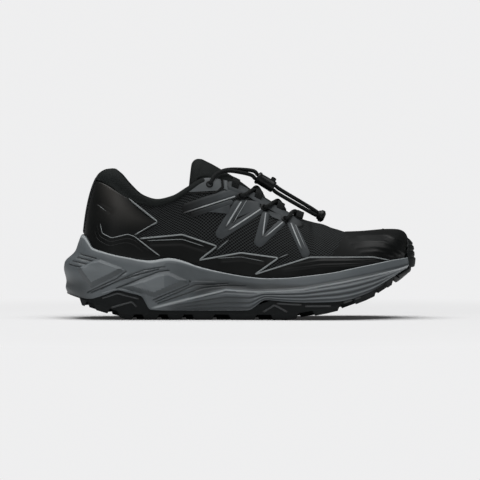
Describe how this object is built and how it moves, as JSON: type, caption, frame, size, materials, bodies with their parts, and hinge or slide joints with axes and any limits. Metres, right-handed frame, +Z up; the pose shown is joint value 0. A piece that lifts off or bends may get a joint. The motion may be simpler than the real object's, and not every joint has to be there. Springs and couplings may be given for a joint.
{
  "type": "outdoor sneaker",
  "caption": "Low trail running shoe for the right foot: hollow mesh upper on a sculpted foam midsole with a lugged rubber outsole, drawn shut by a cord lace with a lock.",
  "frame": {"origin": "on the floor under the middle of the shoe", "axes": "+X to the toe, +Y to the inner (medial) side, +Z up"},
  "size_m": [0.2898, 0.1067, 0.1312],
  "materials": {
    "sole_rubber": "matt black rubber",
    "midsole_foam": "satin grey moulded foam",
    "insole_cloth": "brushed black cloth",
    "upper_mesh": "open black mesh",
    "cuff_knit": "smooth padded knit",
    "gloss_film": "glossy moulded black film",
    "strap_film": "grey welded film",
    "lace_braid": "round black braid",
    "lock_plastic": "satin black plastic"
  },
  "bodies": {
    "shoe": {"outsole": "sole_rubber", "toe_bumper": "sole_rubber", "midsole": "midsole_foam", "insole": "insole_cloth", "upper": "upper_mesh", "collar_cuff": "cuff_knit", "tongue": "cuff_knit", "heel_counter": "gloss_film", "toe_cap": "gloss_film", "eyestay_lateral": "strap_film", "eyestay_medial": "strap_film", "lace_crossing_1": "lace_braid", "lace_crossing_2": "lace_braid", "lace_crossing_3": "lace_braid", "lace_end_lateral": "lace_braid", "lace_end_medial": "lace_braid", "lace_tail_lateral": "lace_braid", "lace_tail_medial": "lace_braid", "cord_lock_body": "lock_plastic", "lace_pull": "lock_plastic"},
    "lock_button": {"cord_lock_button": "lock_plastic"}
  },
  "joints": [
    {"name": "button_press", "type": "slide", "parent": "shoe", "child": "lock_button", "axis": [-0.515, 0, -0.8572], "range_m": [0, 0.0015], "stiffness_N_per_m": 200, "springref_m": -0.001}
  ]
}
